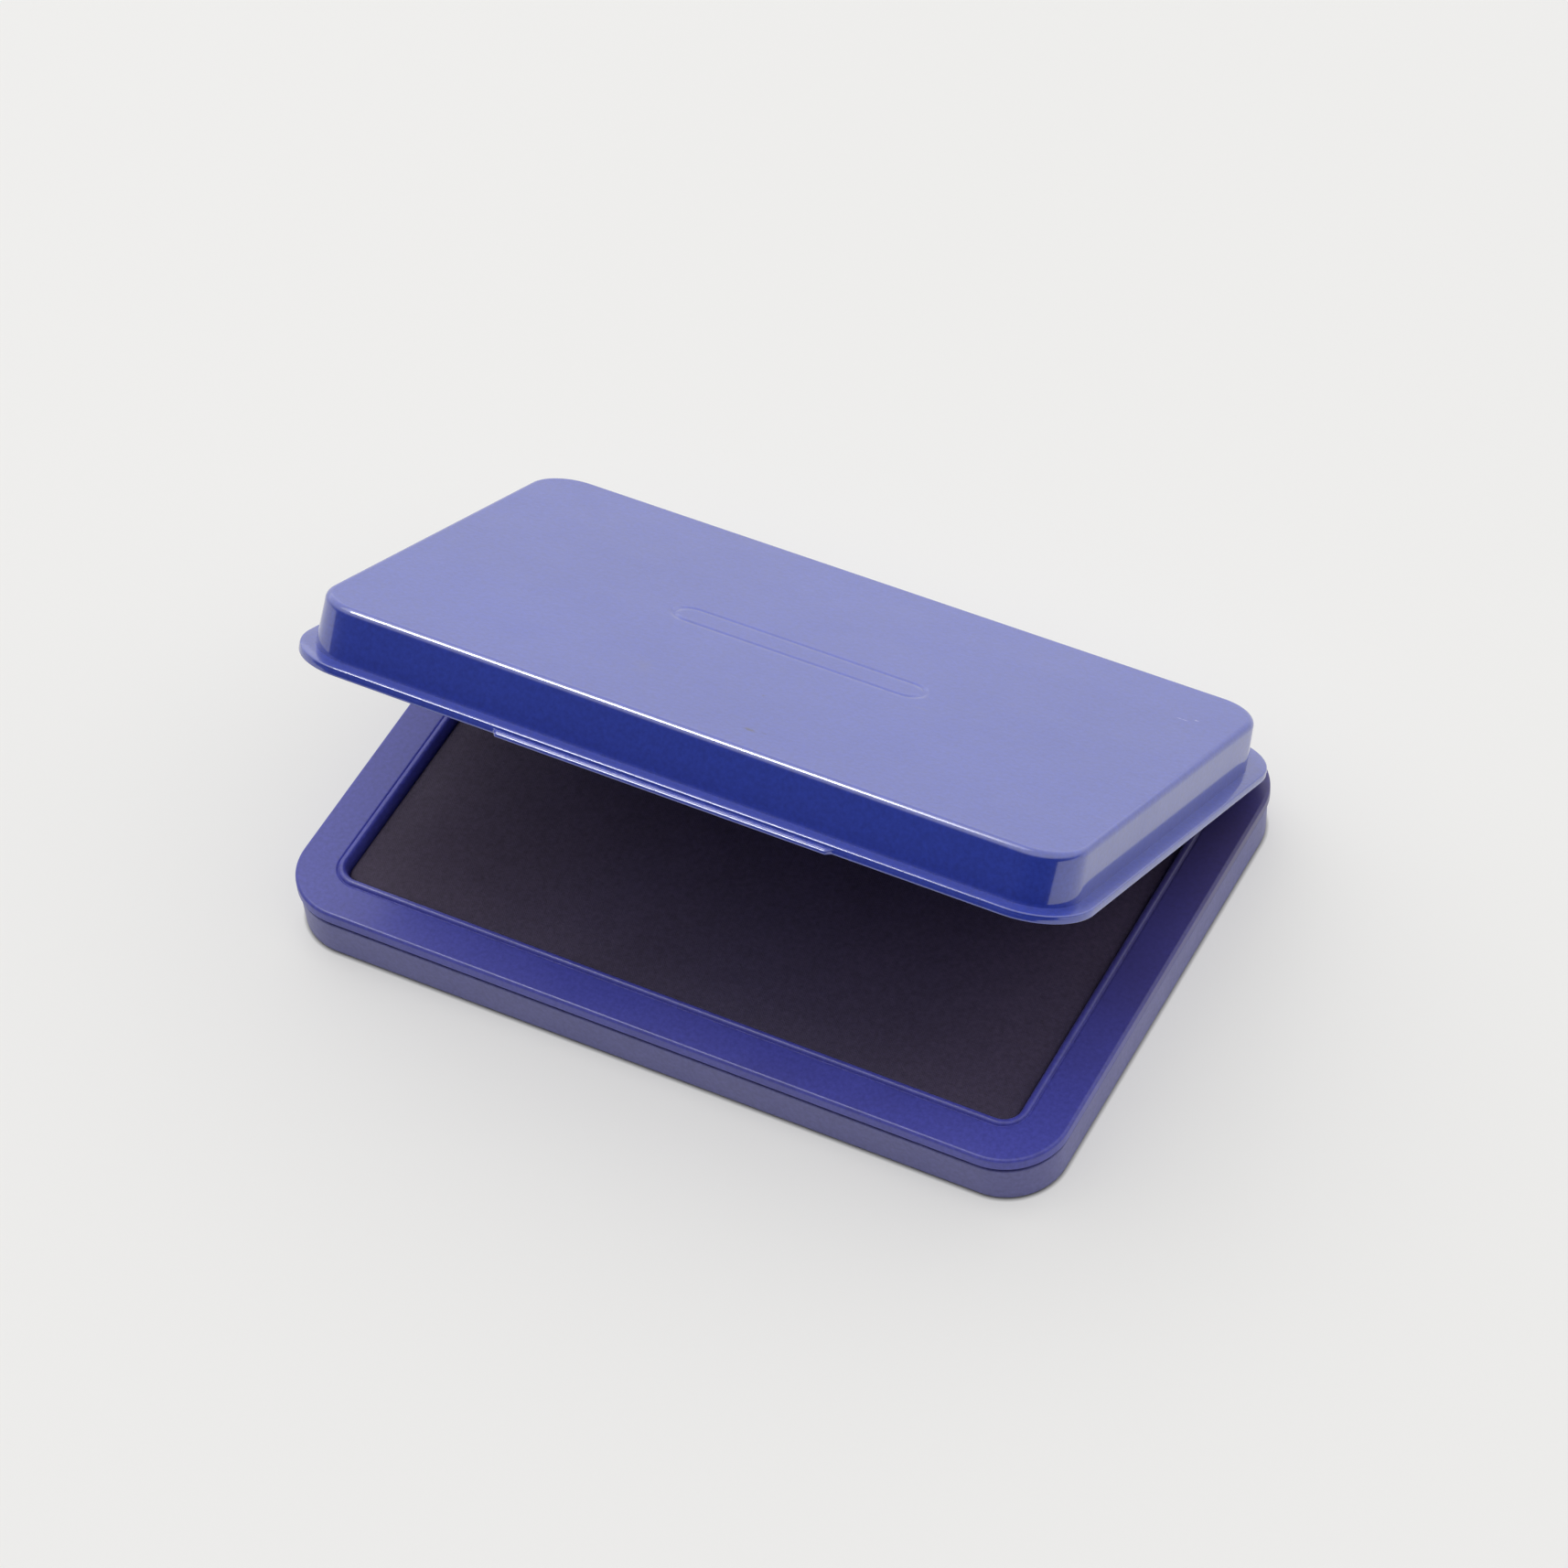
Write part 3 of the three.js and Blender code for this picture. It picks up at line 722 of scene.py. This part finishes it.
RC = (KNUCKLE_R + BORE_R) / 2
TH = KNUCKLE_R - BORE_R
for tag, cx in (("left", -HINGE_X), ("right", HINGE_X)):
    x0, x1 = cx - LEAF_W / 2, cx + LEAF_W / 2
    k0, k1 = cx - LID_KNUCKLE_W / 2 - 0.3, cx + LID_KNUCKLE_W / 2 + 0.3
    plate_path = [(HINGE_Y + RC, z) for z in np.linspace(2.2, 7.8, 15)]
    knuckle_path = [(HINGE_Y + RC, z) for z in np.linspace(7.74, HINGE_Z - 0.3, 6)] + curl(0, 318, RC)
    welds = [(cx + dx, (HINGE_Y + RC, 4.9), 0.85, -0.07) for dx in (-7.2, 0.0, 7.2)]
    ob = join(f"hinge_leaf_base_{tag}", [
        ribbon("p", plate_path, x0, x1, TH, dimples=welds, nx=60),
        ribbon("a", knuckle_path, x0, k0, TH),
        ribbon("b", knuckle_path, k1, x1, TH),
    ])
    dress(ob, mat_hinge, "base", "hinge_paint", f"base_hinge_leaf_{tag}")

    zl = SEAT + RIM_H + 0.3 + TH / 2
    leaf_path = [(y, zl) for y in np.linspace(36.3, 40.2, 8)]
    leaf_path += [(40.5, zl + 0.04), (40.8, zl + 0.15), (41.1, zl + 0.27), (41.35, zl + 0.35)]
    leaf_path += curl(92, -222, RC)
    v, f = ribbon("l", leaf_path, cx - LID_KNUCKLE_W / 2, cx + LID_KNUCKLE_W / 2, TH,
                  dimples=[(cx - 2.1, (38.0, zl), 0.7, 0.07), (cx + 2.1, (38.0, zl), 0.7, 0.07)], nx=30)
    ob = solid(f"hinge_leaf_lid_{tag}", swing(v), f, 40, merge=0.0005)
    dress(ob, mat_hinge, "lid", "hinge_paint", f"lid_hinge_leaf_{tag}")

    # wire pin with domed ends
    verts, faces, N = [], [], 32
    L = LEAF_W / 2 + 0.6
    prof = [(-L, 0.0), (-L + 0.02, 0.25), (-L + 0.12, 0.46), (-L + 0.3, PIN_R)]
    prof += [(x, PIN_R) for x in np.linspace(-L + 0.6, L - 0.6, 12)] + [(-a, b) for a, b in prof[::-1]]
    for px, pr in prof:
        verts += [(cx + px, HINGE_Y + max(pr, 1e-3) * math.cos(2 * math.pi * i / N), HINGE_Z + max(pr, 1e-3) * math.sin(2 * math.pi * i / N)) for i in range(N)]
    for k in range(len(prof) - 1):
        for i in range(N):
            j = (i + 1) % N
            faces.append((k * N + i, k * N + j, (k + 1) * N + j, (k + 1) * N + i))
    pin = solid(f"wire_pin_{tag}", verts, faces, 60, merge=0.003)
    dress(pin, mat_wire, "base", "pin_steel", f"hinge_pin_{tag}")

# ------------------------------------------------------------------ floor
bm = bmesh.new()
bmesh.ops.create_grid(bm, x_segments=8, y_segments=8, size=1.8)
me = bpy.data.meshes.new("floor")
bm.to_mesh(me)
bm.free()
floor = bpy.data.objects.new("floor", me)
bpy.context.scene.collection.objects.link(floor)
fm, nt, bsdf = nodes_of("floor_paper")
coord = add(nt, "ShaderNodeTexCoord").outputs["Object"]
nt.links.new(blend_colour(nt, remap(nt, noise_at(nt, coord, 3, 2), 0.3, 0.7, 0, 1), (0.42, 0.42, 0.415, 1), (0.43, 0.429, 0.425, 1)), bsdf.inputs["Base Color"])
bsdf.inputs["Roughness"].default_value = 0.9
bsdf.inputs["Specular IOR Level"].default_value = 0.1
bsdf.inputs["Emission Color"].default_value = (1, 0.994, 0.982, 1)
# the floor glows a little of its own, which lightens the shadows on it; the glow is cut just inside the case's
# footprint, and the thin dark line this leaves at the case's foot is painted contact shade
near = coord
for op, value in (("ABSOLUTE", None), ("SUBTRACT", ((HX - CASE_R) * MM, (HY - CASE_R) * MM, 0)), ("MAXIMUM", (0, 0, 0))):
    vm = add(nt, "ShaderNodeVectorMath", operation=op)
    nt.links.new(near, vm.inputs[0])
    if value is not None:
        vm.inputs[1].default_value = value
    near = vm.outputs[0]
vm = add(nt, "ShaderNodeVectorMath", operation="LENGTH")
nt.links.new(near, vm.inputs[0])
nt.links.new(remap(nt, vm.outputs["Value"], (CASE_R - 0.7) * MM, (CASE_R - 0.1) * MM, 0.0, 0.40), bsdf.inputs["Emission Strength"])
floor.data.materials.append(fm)


# ------------------------------------------------------------------ light
def area(name, direction, distance, size_x, size_y, radiance, colour=(1, 1, 1), target=(0, 0, 0.02), spin=0.0):
    d = bpy.data.lights.new(name, "AREA")
    d.shape = "RECTANGLE"
    d.size, d.size_y = size_x, size_y
    d.energy = radiance * math.pi * size_x * size_y
    d.color = colour
    o = bpy.data.objects.new(name, d)
    bpy.context.scene.collection.objects.link(o)
    v = Vector(direction).normalized()
    o.location = Vector(target) + v * distance
    o.rotation_euler = (-v).to_track_quat("-Z", "Y").to_euler()
    return o


key = area("key", (-0.45, 0.25, 0.90), 1.6, 1.1, 0.9, 0.95, colour=(1, 0.995, 0.985))
# two gloss-only boxes overhead, end to end along X: together they draw the line on the lid's front edge
for tag, x0, x1, radiance in (("strip", -0.62, -0.385, 13.5), ("strip_end", -0.385, -0.335, 5.0)):
    box = area(tag, ((x0 + x1) / 2, 0.06, 1.22), 1.0, x1 - x0, 0.46, radiance)
    box.location = ((x0 + x1) / 2, 0.06, 1.22)
    box.rotation_euler = (0, math.radians(-21), 0)
    box.visible_diffuse = False

world = bpy.data.worlds.new("studio")
bpy.context.scene.world = world
world.use_nodes = True
wt = world.node_tree
bg = wt.nodes["Background"]
wc = add(wt, "ShaderNodeTexCoord").outputs["Generated"]
sp = add(wt, "ShaderNodeSeparateXYZ")
wt.links.new(wc, sp.inputs[0])
ramp = add(wt, "ShaderNodeValToRGB")
wt.links.new(remap(wt, sp.outputs[1], -1, 1, 0, 1), ramp.inputs[0])
cr = ramp.color_ramp
cr.elements[0].position, cr.elements[0].color = 0.0, (0.06, 0.06, 0.065, 1)
cr.elements[1].position, cr.elements[1].color = 1.0, (1.25, 1.25, 1.26, 1)
for pos, v in ((0.22, 0.10), (0.5, 0.5), (0.75, 1.0)):
    e = cr.elements.new(pos)
    e.color = (v, v, v * 1.01, 1)
# the room's right is darker than its left, and its front is dark up to about half way to the ceiling
flank = remap(wt, sp.outputs[0], -0.9, 0.9, 1.45, 0.35)
fcol = add(wt, "ShaderNodeCombineColor")
for k in range(3):
    wt.links.new(flank, fcol.inputs[k])
walls = blend_colour(wt, 1.0, ramp.outputs[0], fcol.outputs[0], "MULTIPLY")
tilt = math_node(wt, "ADD", sp.outputs[2], math_node(wt, "ADD", math_node(wt, "MULTIPLY", sp.outputs[1], 0.42), math_node(wt, "MULTIPLY", sp.outputs[0], -0.12)))
ceiling = remap(wt, tilt, 0.18, 0.62, 0, 1)
wt.links.new(blend_colour(wt, ceiling, walls, (1.2, 1.195, 1.185, 1)), bg.inputs["Color"])
bg.inputs["Strength"].default_value = 1.0

# ------------------------------------------------------------------ camera
AZ, EL, ROLL = math.radians(31.12), math.radians(48.78), math.radians(-4.92)
DIST, TX, TY, F = 859.5, -7.70, 14.04, 6406.2
back = Vector((math.sin(AZ) * math.cos(EL), -math.cos(AZ) * math.cos(EL), math.sin(EL)))
right = (-back).cross(Vector((0, 0, 1))).normalized()
up = right.cross(-back)
r2 = right * math.cos(ROLL) + up * math.sin(ROLL)
u2 = -right * math.sin(ROLL) + up * math.cos(ROLL)
cam_data = bpy.data.cameras.new("camera")
cam_data.sensor_width = 36
cam_data.lens = 36 * F / 1714
cam_data.clip_start, cam_data.clip_end = 0.01, 50
camera = bpy.data.objects.new("camera", cam_data)
bpy.context.scene.collection.objects.link(camera)
place = (Vector((TX, TY, 0)) + back * DIST) * MM
camera.matrix_world = Matrix((
    (r2.x, u2.x, back.x, place.x),
    (r2.y, u2.y, back.y, place.y),
    (r2.z, u2.z, back.z, place.z),
    (0, 0, 0, 1),
))
bpy.context.scene.camera = camera
bpy.context.scene.view_settings.view_transform = "Standard"
